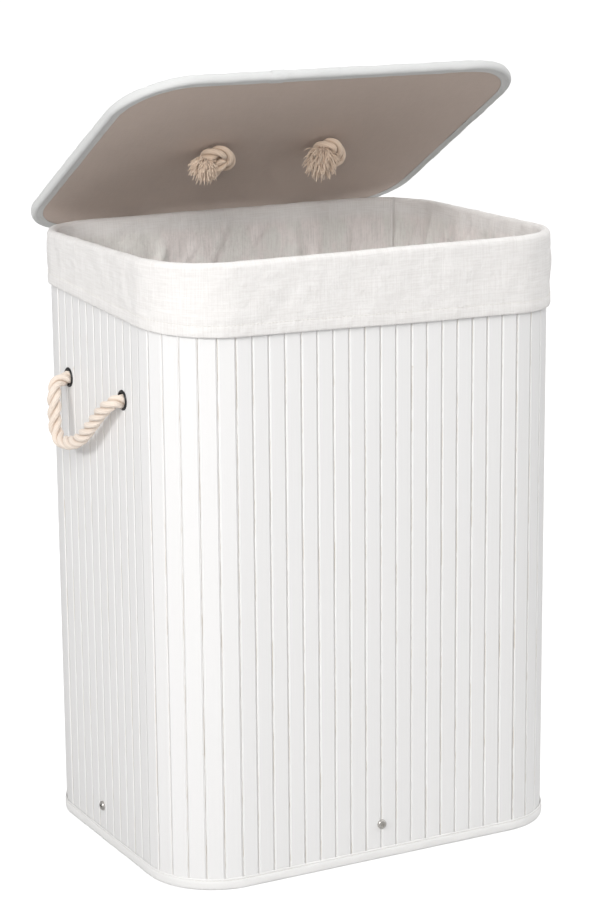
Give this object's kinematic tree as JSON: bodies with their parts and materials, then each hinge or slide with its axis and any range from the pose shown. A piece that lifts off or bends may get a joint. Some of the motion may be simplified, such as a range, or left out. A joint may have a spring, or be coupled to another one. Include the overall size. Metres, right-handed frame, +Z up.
{
  "type": "laundry hamper with lid",
  "caption": "Upright rounded laundry hamper with a slatted wall, folded cotton liner, rope handles and a hinged slatted lid standing ajar.",
  "frame": {"origin": "on the floor, below the middle of the whole hamper with its lid standing open as it does at rest", "axes": "+Z up, -Y is the front wall and +Y the wall that the lid hinges on, +X is the side with the right handle"},
  "size_m": [0.4676, 0.3468, 0.7063],
  "materials": {
    "slats": "split bamboo slats, painted matt white, thin bare edges",
    "backing_cloth": "glued cotton backing cloth",
    "cotton_tape": "white woven cotton tape",
    "steel_wire": "drawn steel wire",
    "board": "thin plywood",
    "bracket_steel": "folded zinc-plated steel",
    "fasteners": "nickel-plated steel",
    "eyelets": "blackened metal, slightly glossy",
    "rope": "three-strand natural cotton rope",
    "liner_cotton": "off-white cotton cloth",
    "lid_lining_cloth": "taupe cotton lining"
  },
  "bodies": {
    "wall": {"front_slats": "slats", "front_right_corner_slats": "slats", "right_slats": "slats", "back_right_corner_slats": "slats", "back_slats": "slats", "back_left_corner_slats": "slats", "left_slats": "slats", "front_left_corner_slats": "slats", "wall_backing": "backing_cloth", "wall_seam_tape": "cotton_tape", "bottom_binding": "cotton_tape", "top_binding": "cotton_tape", "rim_wire": "steel_wire", "base_panel": "board", "base_brackets": "bracket_steel", "base_screws": "fasteners", "base_washers": "fasteners", "base_nuts": "fasteners", "strap_tails": "cotton_tape", "strap_rivets": "fasteners", "strap_washers": "fasteners", "left_handle_eyelets": "eyelets", "left_handle_knots": "rope", "right_handle_eyelets": "eyelets", "right_handle_knots": "rope", "liner": "liner_cotton"},
    "hinge_straps": {"hinge_straps": "cotton_tape"},
    "lid": {"strap_tabs": "cotton_tape", "lid_lining": "lid_lining_cloth", "lid_board": "board", "lid_slats": "slats", "lid_binding": "cotton_tape", "lid_eyelets": "eyelets", "lid_knots": "rope"},
    "left_handle": {"left_handle_rope": "rope"},
    "right_handle": {"right_handle_rope": "rope"},
    "lid_handle": {"lid_handle_rope": "rope"}
  },
  "joints": [
    {"name": "strap_hinge", "type": "hinge", "parent": "wall", "child": "hinge_straps", "pos_m": [0, 0.1368, 0.5187], "axis": [-1, 0, 0], "range_deg": [-51.9, 100]},
    {"name": "lid_hinge", "type": "hinge", "parent": "hinge_straps", "child": "lid", "pos_m": [0, 0.16942, 0.5386], "axis": [-1, 0, 0], "range_deg": [-43, 22.5]},
    {"name": "left_handle_swing", "type": "hinge", "parent": "wall", "child": "left_handle", "pos_m": [-0.2077, -0.011, 0.4265], "axis": [0, 1, 0], "range_deg": [0, 95]},
    {"name": "right_handle_swing", "type": "hinge", "parent": "wall", "child": "right_handle", "pos_m": [0.2077, -0.011, 0.4265], "axis": [0, -1, 0], "range_deg": [0, 95]},
    {"name": "lid_handle_swing", "type": "hinge", "parent": "lid", "child": "lid_handle", "pos_m": [0, 0.03897, 0.63309], "axis": [1, 0, 0], "range_deg": [0, 95]}
  ],
  "couplings": [
    {"joint": "lid_hinge", "follows": "strap_hinge", "ratio": -0.42398}
  ]
}
